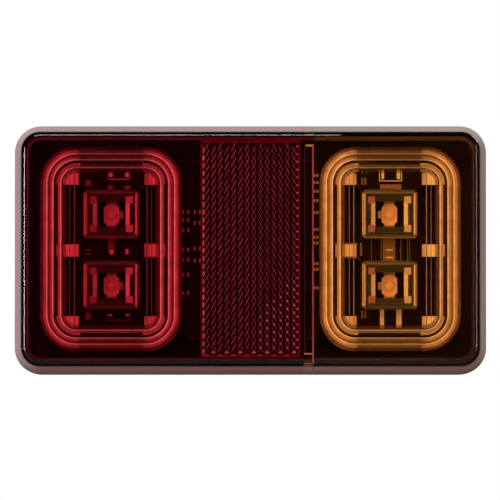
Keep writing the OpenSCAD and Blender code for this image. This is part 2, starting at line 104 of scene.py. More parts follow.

# Corner-cube prisms of the reflex reflector: pitch and how far a prism's ridges reach from its
# middle; painted beads of light on its right lie below a line that rises to the right
PRISM_PITCH = 2.45 * MM
COLUMN_PITCH = PRISM_PITCH * math.sqrt(3) / 2
PRISM_REACH = (0.71 * MM, 1.22 * MM)
RIDGE_WIDTH = 0.15 * MM
BEADS_FROM_X = 3 * MM
BEADS_LINE = (-22.5 * MM, 0.95)

# Seam: the amber lap over the red lens
LAP_BACK = -26.2 * MM

# Level of light from the surroundings, and of what gloss and glass see of them
AMBIENT = 0.4
DARK_STUDIO = 0.004
SIDE_PANEL = 0.7
FRONT_PANEL = 0.025
FLOOR_Z = -0.106
FLOOR_Y = -0.53
FLOOR_R = 0.5


def rgba(colour):
    return (*colour, 1.0)


def root_of(colour):
    return tuple(math.sqrt(c) for c in colour)


# Shader building

def put(tree, kind, inputs=None, **settings):
    """Adds a shader node, sets its properties, and sets or links its inputs."""
    made = tree.nodes.new("ShaderNode" + kind)
    for name, value in settings.items():
        setattr(made, name, value)
    for key, value in (inputs or {}).items():
        if isinstance(value, bpy.types.NodeSocket):
            tree.links.new(value, made.inputs[key])
        else:
            made.inputs[key].default_value = value
    return made


def maths(tree, operation, *values):
    return put(tree, "Math", dict(enumerate(values)), operation=operation).outputs[0]


def blended(tree, share, first, second, blend="MIX"):
    """Colour mix: first where share is 0, second where it is 1."""
    mix = put(tree, "Mix", {0: share, 6: first, 7: second}, data_type="RGBA", blend_type=blend)
    return mix.outputs[2]


def object_axes(tree):
    place = put(tree, "TexCoord").outputs["Object"]
    return put(tree, "SeparateXYZ", {0: place}).outputs


def new_group(name, inputs, outputs):
    """A node group with its sockets; returns the tree, its input sockets and its output node."""
    tree = bpy.data.node_groups.new(name, "ShaderNodeTree")
    for label, kind, value in inputs:
        socket = tree.interface.new_socket(label, in_out="INPUT", socket_type=kind)
        socket.default_value = value
    for label, kind in outputs:
        tree.interface.new_socket(label, in_out="OUTPUT", socket_type=kind)
    given = tree.nodes.new("NodeGroupInput").outputs
    result = tree.nodes.new("NodeGroupOutput")
    return tree, given, result


def use_group(tree, group, **values):
    made = tree.nodes.new("ShaderNodeGroup")
    made.node_tree = group
    for label, value in values.items():
        socket = made.inputs[label.replace("_", " ")]
        if isinstance(value, bpy.types.NodeSocket):
            tree.links.new(value, socket)
        else:
            socket.default_value = value
    return made.outputs


def make_grain():
    """Fine grain of a moulded or cast face: a bump and its height as a mask."""
    tree, given, result = new_group(
        "grain",
        [("Scale", "NodeSocketFloat", 2500.0), ("Depth", "NodeSocketFloat", 0.00001)],
        [("Normal", "NodeSocketVector"), ("Mask", "NodeSocketFloat")],
    )
    place = put(tree, "TexCoord").outputs["Object"]
    noise = put(tree, "TexNoise", {"Vector": place, "Scale": given["Scale"], "Detail": 3.0})
    bump = put(tree, "Bump", {"Height": noise.outputs[0], "Distance": given["Depth"]})
    tree.links.new(bump.outputs[0], result.inputs["Normal"])
    tree.links.new(noise.outputs[0], result.inputs["Mask"])
    return tree


def make_tone_drift():
    """Slow change of a colour's brightness over a face, as flow and cooling leave it."""
    tree, given, result = new_group(
        "tone drift",
        [
            ("Tone", "NodeSocketColor", (0.5, 0.5, 0.5, 1.0)),
            ("Change", "NodeSocketFloat", 0.1),
            ("Scale", "NodeSocketFloat", 60.0),
        ],
        [("Color", "NodeSocketColor")],
    )
    place = put(tree, "TexCoord").outputs["Object"]
    noise = put(tree, "TexNoise", {"Vector": place, "Scale": given["Scale"], "Detail": 2.0})
    lift = maths(tree, "MULTIPLY", maths(tree, "SUBTRACT", noise.outputs[0], 0.5), given["Change"])
    gain = maths(tree, "ADD", maths(tree, "MULTIPLY", lift, 2.0), 1.0)
    shade = put(tree, "CombineColor", {0: gain, 1: gain, 2: gain}).outputs[0]
    tree.links.new(blended(tree, 1.0, given["Tone"], shade, "MULTIPLY"), result.inputs["Color"])
    return tree


def make_inset():
    """How far inside a rounded upright rectangle a place lies, below 0 outside it."""
    tree, given, result = new_group(
        "inset",
        [
            ("Middle X", "NodeSocketFloat", 0.0),
            ("Half Width", "NodeSocketFloat", 0.01),
            ("Half Height", "NodeSocketFloat", 0.01),
            ("Corner", "NodeSocketFloat", 0.001),
        ],
        [("Inset", "NodeSocketFloat")],
    )
    x, _, z = object_axes(tree)
    beyond = []
    for place, middle, half in (
        (x, given["Middle X"], given["Half Width"]),
        (z, 0.0, given["Half Height"]),
    ):
        away = maths(tree, "ABSOLUTE", maths(tree, "SUBTRACT", place, middle))
        beyond.append(maths(tree, "SUBTRACT", away, maths(tree, "SUBTRACT", half, given["Corner"])))
    square = 0.0
    for reach in beyond:
        past = maths(tree, "MAXIMUM", reach, 0.0)
        square = maths(tree, "MULTIPLY_ADD", past, past, square)
    within = maths(tree, "MINIMUM", maths(tree, "MAXIMUM", *beyond), 0.0)
    past_corner = maths(tree, "ADD", maths(tree, "SQRT", square), within)
    inset = maths(tree, "SUBTRACT", given["Corner"], past_corner)
    tree.links.new(inset, result.inputs["Inset"])
    return tree


GRAIN = make_grain()
TONE_DRIFT = make_tone_drift()
INSET = make_inset()


def new_material(name):
    made = bpy.data.materials.new(name)
    made.use_nodes = True
    made.node_tree.nodes.clear()
    return made, made.node_tree


def finish_with(tree, shader):
    put(tree, "OutputMaterial", {"Surface": shader})


def solid_finish(
    name, colour, roughness, change=0.12, drift=80.0, grain=2500.0, depth=0.00001, **extra
):
    """An opaque moulded, cast or plated finish with grain and slow change of tone."""
    material, tree = new_material(name)
    relief = use_group(tree, GRAIN, Scale=grain, Depth=depth)
    tone = use_group(tree, TONE_DRIFT, Tone=rgba(colour), Change=change, Scale=drift)["Color"]
    rough = maths(tree, "MULTIPLY_ADD", relief["Mask"], 0.2, roughness - 0.1)
    values = {"Base Color": tone, "Roughness": rough, "Normal": relief["Normal"], **extra}
    finish_with(tree, put(tree, "BsdfPrincipled", values).outputs[0])
    return material


def past_glass(tree, glass, tint):
    """Lets lamps and scattered light straight through glass, tinted once at each face."""
    path = put(tree, "LightPath").outputs
    passing = maths(tree, "MAXIMUM", path["Is Shadow Ray"], path["Is Diffuse Ray"])
    clear = put(tree, "BsdfTransparent", {"Color": tint}).outputs[0]
    return put(tree, "MixShader", {0: passing, 1: glass, 2: clear}).outputs[0]


def lens_plastic(name, tint):
    """Clear tinted plastic with a polished, very slightly wavy face."""
    material, tree = new_material(name)
    wave = use_group(tree, GRAIN, Scale=160.0, Depth=0.0000015)
    tone = use_group(tree, TONE_DRIFT, Tone=rgba(tint), Change=0.04, Scale=40.0)["Color"]
    glass = put(
        tree,
        "BsdfPrincipled",
        {
            "Base Color": tone,
            "Roughness": 0.015,
            "IOR": LENS_IOR,
            "Transmission Weight": 1.0,
            "Normal": wave["Normal"],
        },
    ).outputs[0]
    finish_with(tree, past_glass(tree, glass, rgba(root_of(tint))))
    return material


def reflex_plastic():
    """Clear red plastic of the prisms, with polished facets."""
    material, tree = new_material("reflex prism plastic")
    tone = use_group(tree, TONE_DRIFT, Tone=rgba(REFLEX_TINT), Change=0.15, Scale=300.0)["Color"]
    glass = put(
        tree,
        "BsdfPrincipled",
        {"Base Color": tone, "Roughness": 0.02, "IOR": LENS_IOR, "Transmission Weight": 1.0},
    ).outputs[0]
    finish_with(tree, past_glass(tree, glass, rgba(root_of(REFLEX_TINT))))
    return material


def ramp(tree, value, stops):
    """Colour by a value from 0 to 1, from (place, colour) pairs."""
    made = put(tree, "ValToRGB", {0: value})
    marks = made.color_ramp.elements
    marks.remove(marks[1])
    marks[0].position, marks[0].color = stops[0][0], rgba(stops[0][1])
    for place, colour in stops[1:]:
        marks.new(place).color = rgba(colour)
    return made.outputs[0]


def painted_light_film(name, tone, change=0.3, drift=250.0):
    """A film inside the lens's plastic with painted light and shade, standing in for what the
    lens's edges catch; lamps still shine through it. Tone is a function that builds a colour in the
    tree."""
    material, tree = new_material(name)
    drifting = use_group(tree, TONE_DRIFT, Tone=tone(tree), Change=change, Scale=drift)["Color"]
    values = {"Base Color": drifting, "Roughness": 0.6, "Specular IOR Level": 0.0}
    film = put(tree, "BsdfPrincipled", values).outputs[0]
    finish_with(tree, past_glass(tree, film, (1, 1, 1, 1)))
    return material


def across(low, high, stops):
    """Builds a colour that changes along X, from (share of the way, colour) pairs."""
    def build(tree):
        x = object_axes(tree)[0]
        place = put(tree, "MapRange", {0: x, "From Min": low, "From Max": high}).outputs[0]
        return ramp(tree, place, stops)
    return build


def step_stops(edge, lit, tread, dim, gap):
    """Values across the steps, from the window's outline inward, as (share of the way, value)."""
    across_mm = (
        (0.0, dim), (0.7, dim), (1.5, lit), (1.9, lit), (1.95, edge), (2.22, edge),
        (2.27, tread), (3.1, tread), (3.3, lit), (3.82, lit), (3.86, edge), (4.13, edge),
        (4.2, gap), (5.4, gap), (5.7, lit), (6.3, lit), (6.35, edge), (6.6, edge),
        (6.7, dim), (7.5, dim), (8.2, gap),
    )
    return [(place * MM / STEPS_WIDTH, value) for place, value in across_mm]


def painted_step_light(name, middle, tones, left, level, right):
    """Painted highlights of a stepped window's edges: the same tones all round, with one painted
    brightness on its left, one on its level stretches, lighter lower down, and one on its right."""
    material, tree = new_material(name)
    inset = use_group(
        tree, INSET, Middle_X=middle, Half_Width=OPTIC_HALF[0], Half_Height=OPTIC_HALF[1],
        Corner=OPTIC_CORNER,
    )["Inset"]
    way = maths(tree, "DIVIDE", inset, STEPS_WIDTH)
    # Painted light by place: one gain on the left, one on the right, and on the level stretches one
    # that grows lower down
    x, _, z = object_axes(tree)
    on_right = maths(tree, "GREATER_THAN", x, middle)
    away = maths(tree, "ABSOLUTE", maths(tree, "SUBTRACT", x, middle))
    on_level = put(
        tree, "MapRange", {0: away, "From Min": LEVEL_ENDS[1], "From Max": LEVEL_ENDS[0]}
    ).outputs[0]
    low = put(
        tree,
        "MapRange",
        {
            0: z, "From Min": 10 * MM, "From Max": -10 * MM,
            "To Min": level, "To Max": level * 1.5,
        },
    ).outputs[0]
    beside = maths(tree, "MULTIPLY_ADD", on_right, right - left, left)
    change = maths(tree, "MULTIPLY", on_level, maths(tree, "SUBTRACT", low, beside))
    gain = maths(tree, "ADD", beside, change)
    shade = put(tree, "CombineColor", {0: gain, 1: gain, 2: gain}).outputs[0]
    tone = blended(tree, 1.0, ramp(tree, way, step_stops(*tones)), shade, "MULTIPLY")
    drifting = use_group(tree, TONE_DRIFT, Tone=tone, Change=0.45, Scale=380.0)["Color"]
    thin, some, full = ((share,) * 3 for share in (0.25, 0.5, 0.85))
    side_share = ramp(tree, way, step_stops(full, full, some, some, thin))
    level_share = ramp(tree, way, step_stops(full, some, some, some, thin))
    film = put(
        tree,
        "BsdfPrincipled",
        {
            "Base Color": drifting,
            "Roughness": 0.6,
            "Specular IOR Level": 0.0,
            "Alpha": blended(tree, on_level, side_share, level_share),
        },
    ).outputs[0]
    finish_with(tree, past_glass(tree, film, (1, 1, 1, 1)))
    return material


def painted_rim_light(name, outer, inner, top, bottom):
    """Painted light in the lens's side walls: paler towards the mounting plane, stronger along the
    top, fading out along the bottom, weak in the top's lap of amber over red, and painted shade on
    the side that faces into the lamp."""
    # Painted shade: the tone where the walls catch no light
    dark = (0.02, 0.005, 0.004)

    def tone(tree):
        x, y, z = object_axes(tree)
        place = put(
            tree, "MapRange", {0: y, "From Min": RIM_IN[3], "From Max": RIM_OUT[3]}
        ).outputs[0]
        beside = ramp(tree, place, ((0.0, dark), (0.04, dark), (0.1, inner), (1.0, outer)))
        above = ramp(tree, place, ((0.0, dark), (0.04, dark), (0.1, top), (1.0, top)))
        below = ramp(tree, place, ((0.0, bottom), (0.3, bottom), (1.0, dark)))
        lap = maths(tree, "MULTIPLY", maths(tree, "GREATER_THAN", x, LAP_START),
                    maths(tree, "LESS_THAN", x, AMBER_START))
        above = blended(tree, maths(tree, "MULTIPLY", lap, 0.6), above, rgba(dark))
        shares = [
            put(
                tree, "MapRange", {0: z, "From Min": way * 34 * MM, "From Max": way * 37 * MM}
            ).outputs[0]
            for way in (1, -1)
        ]
        round_lens = blended(tree, shares[1], blended(tree, shares[0], beside, above), below)
        normal = put(tree, "NewGeometry").outputs["Normal"]
        facing = put(tree, "SeparateXYZ", {0: normal}).outputs
        outward = maths(tree, "MULTIPLY_ADD", facing[0], x, maths(tree, "MULTIPLY", facing[2], z))
        return blended(tree, maths(tree, "GREATER_THAN", outward, 0.0), rgba(dark), round_lens)
    return painted_light_film(name, tone, change=0.15, drift=60.0)


def plain_tone(colour):
    def build(tree):
        return rgba(colour)
    return build


def painted_ridge_light(name, left, right):
    """Painted highlights on the prisms' ridges, which change from the reflector's left to its
    right.
    """
    stops = ((0.0, left), (0.35, left), (0.75, right), (1.0, right))
    tones = across(REFLEX_MIN.x, REFLEX_MAX.x, stops)
    return painted_light_film(name, tones, change=0.8, drift=500.0)


def tipped(name, body, tips, roughness, columns, half_body):
    """Small parts whose bodies stand in columns, with tinned ends past each body's middle."""
    material, tree = new_material(name)
    x, _, _ = object_axes(tree)
    body_mask = 0.0
    for column in columns:
        away = maths(tree, "ABSOLUTE", maths(tree, "SUBTRACT", x, column))
        inside = maths(tree, "LESS_THAN", away, half_body)
        body_mask = maths(tree, "MAXIMUM", body_mask, inside)
    relief = use_group(tree, GRAIN, Scale=6000.0, Depth=0.00002)
    tin = use_group(tree, TONE_DRIFT, Tone=rgba(tips), Change=0.2, Scale=900.0)["Color"]
    tone = blended(tree, body_mask, tin, rgba(body))
    metal = maths(tree, "MULTIPLY_ADD", body_mask, -0.3, 0.3)
    rough = maths(tree, "MULTIPLY_ADD", body_mask, roughness - 0.35, 0.35)
    values = {"Base Color": tone, "Metallic": metal, "Roughness": rough, "Normal": relief["Normal"]}
    finish_with(tree, put(tree, "BsdfPrincipled", values).outputs[0])
    return material


def package_finish(name, lead_front):
    """Black moulded packages whose leads and tabs, close to the board, are tinned."""
    material, tree = new_material(name)
    _, y, _ = object_axes(tree)
    lead = maths(tree, "GREATER_THAN", y, lead_front)
    relief = use_group(tree, GRAIN, Scale=5000.0, Depth=0.00002)
    tone = blended(tree, lead, rgba((0.02, 0.02, 0.022)), rgba((0.72, 0.70, 0.66)))
    rough = maths(tree, "MULTIPLY_ADD", relief["Mask"], 0.3, 0.3)
    values = {"Base Color": tone, "Metallic": lead, "Roughness": rough, "Normal": relief["Normal"]}
    finish_with(tree, put(tree, "BsdfPrincipled", values).outputs[0])
    return material


def board_finish(name):
    """Dark solder resist over glass cloth, with the cloth's weave showing as a faint relief."""
    material, tree = new_material(name)
    place = put(tree, "TexCoord").outputs["Object"]
    threads = [
        put(tree, "TexWave", {"Vector": place, "Scale": 700.0}, bands_direction=way).outputs[0]
        for way in "XZ"
    ]
    weave = maths(tree, "MAXIMUM", *threads)
    bump = put(tree, "Bump", {"Height": weave, "Distance": 0.000006}).outputs[0]
    resist = rgba((0.010, 0.003, 0.002))
    tone = use_group(tree, TONE_DRIFT, Tone=resist, Change=0.4, Scale=120.0)["Color"]
    values = {"Base Color": tone, "Roughness": 0.32, "Normal": bump, "Specular IOR Level": 0.15}
    finish_with(tree, put(tree, "BsdfPrincipled", values).outputs[0])
    return material


def led_finish(name, colour, lead_front):
    """A pale package with a clear dome over its chip, and tinned lands close to the board."""
    material, tree = new_material(name)
    _, y, _ = object_axes(tree)
    lead = maths(tree, "GREATER_THAN", y, lead_front)
    relief = use_group(tree, GRAIN, Scale=4000.0, Depth=0.00001)
    shell = use_group(tree, TONE_DRIFT, Tone=rgba(colour), Change=0.12, Scale=900.0)["Color"]
    tone = blended(tree, lead, shell, rgba((0.55, 0.53, 0.50)))
    values = {
        "Base Color": tone,
        "Roughness": 0.3,
        "Coat Weight": 0.3,
        "Normal": relief["Normal"],
    }
    finish_with(tree, put(tree, "BsdfPrincipled", values).outputs[0])
    return material


def housing_finish():
    """Black moulded plastic, with painted shade on the side that the lens covers: darker and
    reddish there.
    """
    material, tree = new_material("black housing")
    relief = use_group(tree, GRAIN, Scale=2200.0, Depth=0.00003)
    outside = use_group(tree, TONE_DRIFT, Tone=rgba((0.018, 0.018, 0.02)), Change=0.12)["Color"]
    _, y, _ = object_axes(tree)
    inset = use_group(
        tree, INSET, Half_Width=75 * MM, Half_Height=39.5 * MM, Corner=8.4 * MM
    )["Inset"]
    # Painted shade: a darker, reddish tone where the lens covers the housing
    covered = maths(tree, "GREATER_THAN", inset, 0.5 * MM)
    covered = maths(tree, "MULTIPLY", covered, maths(tree, "LESS_THAN", y, -2.9 * MM))
    tone = blended(tree, covered, outside, rgba((0.010, 0.002, 0.001)))
    rough = maths(tree, "MULTIPLY_ADD", relief["Mask"], 0.2, 0.32)
    rough = maths(tree, "MULTIPLY_ADD", covered, 0.35, rough)
    values = {
        "Base Color": tone,
        "Roughness": rough,
        "Specular IOR Level": 0.35,
        "Normal": relief["Normal"],
    }
    finish_with(tree, put(tree, "BsdfPrincipled", values).outputs[0])
    return material


def guide_finish():
    """Plated LED guides whose four feet show unplated tops, with painted light making the right
    ones paler.
    """
    material, tree = new_material("led guide")
    x, y, z = object_axes(tree)
    foot = maths(tree, "LESS_THAN", y, FOOT_FRONT)
    for place, middles in ((x, (OPTIC_X, FOOT[0])), (z, (LED_Z, FOOT[1]))):
        for middle in middles:
            place = maths(tree, "SUBTRACT", maths(tree, "ABSOLUTE", place), middle)
        near = maths(tree, "LESS_THAN", maths(tree, "ABSOLUTE", place), FOOT_HALF)
        foot = maths(tree, "MULTIPLY", foot, near)
    relief = use_group(tree, GRAIN, Scale=1800.0, Depth=0.000004)
    bright = rgba((0.75, 0.75, 0.75))
    plating = use_group(tree, TONE_DRIFT, Tone=bright, Change=0.1, Scale=200.0)["Color"]
    # Painted highlight: the feet's tops on the right get a paler tone than those on the left
    middle = maths(tree, "MULTIPLY", maths(tree, "SIGN", x), OPTIC_X)
    on_right = maths(tree, "GREATER_THAN", x, middle)
    top = blended(tree, on_right, rgba((0.32, 0.15, 0.25)), rgba((0.60, 0.52, 0.60)))
    tone = blended(tree, foot, plating, top)
    rough = maths(tree, "MULTIPLY_ADD", relief["Mask"], 0.2, 0.06)
    rough = maths(tree, "MULTIPLY_ADD", foot, 0.3, rough)
    values = {
        "Base Color": tone,
        "Metallic": maths(tree, "SUBTRACT", 1.0, foot),
        "Roughness": rough,
        "Normal": relief["Normal"],
    }
    finish_with(tree, put(tree, "BsdfPrincipled", values).outputs[0])
    return material


def bright_metal(name, colour, roughness):
    return solid_finish(
        name, colour, roughness, change=0.1, drift=200.0, grain=1800.0, depth=0.000004, Metallic=1.0
    )


def make_finishes():
    lead_front = BOARD_FRONT - 0.5 * MM
    reg_front = DRIVER_FRONT - 0.4 * MM
    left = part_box("chip_resistors")
    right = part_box("chip_capacitors")
    span = left[1].x - left[0].x
    chip = 2.0 * MM
    resistors = (left[0].x + chip / 2, left[0].x + span - chip / 2)
    capacitors = ((right[0].x + right[1].x) / 2,)
    return {
        "lens_red": lens_plastic("red lens", RED_TINT),
        "lens_amber": lens_plastic("amber lens", AMBER_TINT),
        "base_housing": housing_finish(),
        "lens_seal": solid_finish("seal", (0.05, 0.05, 0.052), 0.6, grain=900.0, depth=0.00004),
        "reflex_reflector": reflex_plastic(),
        "reflex_cap": solid_finish("cap", (0.15, 0.012, 0.02), 0.35),
        "carrier": solid_finish(
            "white carrier", (0.93, 0.91, 0.87), 0.38, change=0.05, drift=150.0
        ),
        "board": board_finish("board"),
        "led_red": led_finish("red led", (0.66, 0.50, 0.56), lead_front),
        "led_amber": led_finish("amber led", (0.82, 0.55, 0.53), lead_front),
        "collimator": guide_finish(),
        "chip_resistors": tipped(
            "resistors", (0.02, 0.02, 0.02), (0.8, 0.78, 0.74), 0.4, resistors, 0.6 * MM
        ),
        "chip_capacitors": tipped(
            "capacitors", (0.36, 0.24, 0.14), (0.8, 0.78, 0.74), 0.45, capacitors, 0.45 * MM
        ),
        "diodes": package_finish("diode", reg_front),
        "regulators": package_finish("regulator", reg_front),
        "board_jumpers": bright_metal("jumper strip", (0.72, 0.50, 0.36), 0.35),
        "wire_terminal": solid_finish("terminal nylon", (0.75, 0.72, 0.62), 0.45),
        "board_screws": bright_metal("zinc screw", (0.62, 0.62, 0.60), 0.3),
        "stud": bright_metal("zinc stud", (0.60, 0.60, 0.58), 0.32),
        "cable_grommet": solid_finish(
            "grommet rubber", (0.03, 0.03, 0.03), 0.65, grain=1500.0, depth=0.00004
        ),
        "pad": solid_finish("tinned pad", (0.74, 0.72, 0.68), 0.42, change=0.25, drift=700.0),
        "land": solid_finish("covered copper", (0.20, 0.14, 0.10), 0.4, change=0.25, drift=500.0),
        "legend": solid_finish("white ink", (0.15, 0.145, 0.14), 0.6, change=0.3, drift=700.0),
        "cut_edge": solid_finish("bare laminate", (0.10, 0.09, 0.06), 0.6, change=0.3, drift=300.0),
        # Films of painted light and shade inside the lenses
        "red_steps": painted_step_light(
            "red painted step light", -OPTIC_X,
            ((0.8, 0.6, 0.6), (0.4, 0.1, 0.1), (0.25, 0.02, 0.03), (0.12, 0.01, 0.02),
             (0.06, 0, 0)),
            left=1.0, level=0.3, right=1.1,
        ),
        "amber_steps": painted_step_light(
            "amber painted step light", OPTIC_X,
            ((0.8, 0.6, 0.5), (0.45, 0.25, 0.1), (0.35, 0.12, 0.05), (0.15, 0.05, 0.03),
             (0.05, 0.01, 0)),
            left=1.1, level=0.3, right=1.0,
        ),
        "red_bars": painted_light_film("red bar edge painted highlights", plain_tone((0.14, 0.062, 0.09)), change=0.5),
        "amber_bars": painted_light_film("amber bar edge painted highlights", plain_tone((0.24, 0.15, 0.20)), change=0.5),
        "red_rim": painted_rim_light(
            "red painted rim light", (0.60, 0.44, 0.44), (0.52, 0.24, 0.26), (0.70, 0.50, 0.50),
            (0.62, 0.27, 0.28)
        ),
        "amber_rim": painted_rim_light(
            "amber painted rim light", (0.36, 0.24, 0.15), (0.36, 0.16, 0.04), (0.44, 0.27, 0.16),
            (0.42, 0.20, 0.12)
        ),
        "red_inner_edge": painted_light_film("red inner edge painted light", plain_tone((0.09, 0.02, 0.05)), change=0.4),
        "amber_inner_edge": painted_light_film(
            "amber inner edge painted light", plain_tone((0.05, 0.022, 0.03)), change=0.4
        ),
        "rising": painted_ridge_light("rising ridge painted highlights", (0.34, 0.16, 0.20), (0.15, 0.05, 0.07)),
        "falling": painted_ridge_light("falling ridge painted highlights", (0.14, 0.04, 0.06), (0.26, 0.12, 0.16)),
        "bead": painted_light_film("prism painted beads", plain_tone((0.50, 0.26, 0.31)), change=0.7, drift=420.0),
        # Seam films: painted highlights along the lap's edge and its caps, painted shade along its
        # shoulder
        "seam": painted_light_film("seam painted highlight", plain_tone((0.26, 0.055, 0.12)), change=0.5, drift=180.0),
        "seam_dark": painted_light_film("seam painted shade", plain_tone((0.030, 0.012, 0.03))),
        "seam_cap": painted_light_film("seam cap painted highlights", plain_tone((0.36, 0.22, 0.20))),
    }


finishes = make_finishes()


def finish_for(node):
    if node in finishes:
        return finishes[node]
    for start in ("carrier", "led_red", "led_amber", "collimator", "stud"):
        if node.startswith(start):
            return finishes[start]
    return finishes["board"]


def dress_nodes():
    for name, piece in nodes.items():
        piece.data.materials.clear()
        piece.data.materials.append(finish_for(name))


dress_nodes()


# New pieces

def new_piece(name, bm, finish):
    """Makes an object of a finished bmesh, at the origin, riding with the lamp."""
    bmesh.ops.recalc_face_normals(bm, faces=bm.faces)
    mesh = bpy.data.meshes.new(name)
    bm.to_mesh(mesh)
    bm.free()
    piece = bpy.data.objects.new(name, mesh)
    bpy.context.scene.collection.objects.link(piece)
    mesh.materials.append(finish)
    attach(piece, "root")
    return piece


def thicken(bm, faces, thick):
    """Gives flat upright faces a thickness towards the viewer."""
    made = bmesh.ops.extrude_face_region(bm, geom=faces, use_keep_orig=True)["geom"]
    verts = [part for part in made if isinstance(part, bmesh.types.BMVert)]
    bmesh.ops.translate(bm, vec=(0, -thick, 0), verts=verts)


def rounded_face(bm, middle, half_width, half_height, corner, back):
    """A flat upright face with rounded corners."""
    stand = Matrix.Rotation(math.radians(90), 4, "X")
    size = Matrix.Diagonal((half_width, half_height, 1.0, 1.0))
    place = Matrix.Translation((middle, back, 0)) @ stand @ size
    corners = bmesh.ops.create_grid(bm, x_segments=1, y_segments=1, size=1.0, matrix=place)["verts"]
    rounded = bmesh.ops.bevel(
        bm, geom=corners, offset=corner, offset_type="OFFSET", affect="VERTICES",
        segments=12, profile=0.5, material=-1,
    )
    return rounded["verts"][0].link_faces[0]


def band(bm, middle, half_width, half_height, corner, width, back):
    """A thin flat band round a rounded rectangle, inward from its outline."""
    face = rounded_face(bm, middle, half_width, half_height, corner, back)
    ring = bmesh.ops.inset_region(
        bm, faces=[face], thickness=width, use_boundary=True, use_even_offset=True
    )["faces"]
    bmesh.ops.delete(bm, geom=[face], context="FACES_ONLY")
    thicken(bm, ring, FILM)


def keep_side(bm, x, side):
    """Cuts a mesh at X = x and keeps what lies on one side of it."""
    bmesh.ops.bisect_plane(
        bm, geom=bm.verts[:] + bm.edges[:] + bm.faces[:], plane_co=(x, 0, 0),
        plane_no=(side, 0, 0), clear_inner=True,
    )
    edges = [edge for edge in bm.edges if edge.is_boundary]
    bmesh.ops.holes_fill(bm, edges=edges, sides=0)


def strip(bm, x, z, width, height, back, lean=0.0):
    """A thin flat bar, leaning clockwise by an angle."""
    turn = Matrix.Rotation(lean, 4, "Y")
    size = Matrix.Diagonal((width, FILM, height, 1.0))
    place = Matrix.Translation((x, back - FILM / 2, z))
    bmesh.ops.create_cube(bm, size=1.0, matrix=place @ turn @ size)


def spot(bm, x, z, half_width, half_height, back):
    """A thin oval."""
    stand = Matrix.Rotation(math.radians(90), 4, "X")
    size = Matrix.Diagonal((half_width, half_height, 1.0, 1.0))
    place = Matrix.Translation((x, back, z)) @ stand @ size
    made = bmesh.ops.create_circle(
        bm, cap_ends=True, segments=10, radius=1.0, matrix=place
    )["verts"]
    thicken(bm, [made[0].link_faces[0]], FILM)


def plate(bm, x, z, width, height, back, thick, bevel):
    """A thin raised plate whose back lies at Y = back."""
    size = Matrix.Diagonal((width, thick, height, 1.0))
    place = Matrix.Translation((x, back - thick / 2, z))
    made = bmesh.ops.create_cube(bm, size=1.0, matrix=place @ size)["verts"]
    front = back - thick
    edges = {
        edge
        for vert in made
        for edge in vert.link_edges
        if all(abs(end.co.y - front) < thick / 4 for end in edge.verts)
    }
    bmesh.ops.bevel(
        bm, geom=list(edges), offset=bevel, offset_type="OFFSET", affect="EDGES",
        segments=1, profile=0.5, material=-1, clamp_overlap=True,
    )


def make_step_lights():
    # Films of painted highlights: the steps' glints, and glints along the bars' edges
    for side, colour in ((-1, "red"), (1, "amber")):
        bm = bmesh.new()
        band(bm, side * OPTIC_X, *OPTIC_HALF, OPTIC_CORNER, STEPS_WIDTH, IN_WALL)
        new_piece(colour + "_painted_step_light", bm, finishes[colour + "_steps"])
        bm = bmesh.new()
        for x, width in BAR_EDGES:
            for way in (-1, 1):
                strip(bm, side * OPTIC_X + way * x, 0, width, 2 * BAR_HALF, IN_WALL)
        new_piece(colour + "_bar_edges", bm, finishes[colour + "_bars"])


def make_rim_lights():
    """Bands of painted light in the drafted side walls and along the lens's inner edge, in two
    halves that meet beside the seam."""
    for side, colour, x in ((-1, "red", RED_END), (1, "amber", AMBER_START)):
        bm = bmesh.new()
        faces = [rounded_face(bm, 0, *size) for size in (RIM_OUT, RIM_IN)]
        loops = [edge for face in faces for edge in face.edges]
        bmesh.ops.delete(bm, geom=faces, context="FACES_ONLY")
        bmesh.ops.bridge_loops(bm, edges=loops)
        bmesh.ops.bisect_plane(
            bm, geom=bm.verts[:] + bm.edges[:] + bm.faces[:], plane_co=(x, 0, 0),
            plane_no=(side, 0, 0), clear_inner=True,
        )
        bmesh.ops.solidify(bm, geom=bm.faces[:], thickness=FILM)
        new_piece(colour + "_painted_rim_light", bm, finishes[colour + "_rim"])
        bm = bmesh.new()
        band(bm, 0, *INNER_EDGE, IN_WALL)
        keep_side(bm, x, side)
        new_piece(colour + "_inner_edge", bm, finishes[colour + "_inner_edge"])


def prism_places():
    """Middles of the whole prisms that the reflector shows, column by column."""
    half = (REFLEX_MAX - REFLEX_MIN) / 2
    columns = math.ceil(2 * half.x / COLUMN_PITCH) + 1
    rows = math.ceil(2 * half.z / PRISM_PITCH) + 1
    for c in range(columns):
        x = (c - (columns - 1) / 2) * COLUMN_PITCH
        for k in range(rows):
            z = (k - rows / 2 + (0.25 if c % 2 == 0 else 0.75)) * PRISM_PITCH
            yield x, z, half.x - abs(x), half.z - abs(z)


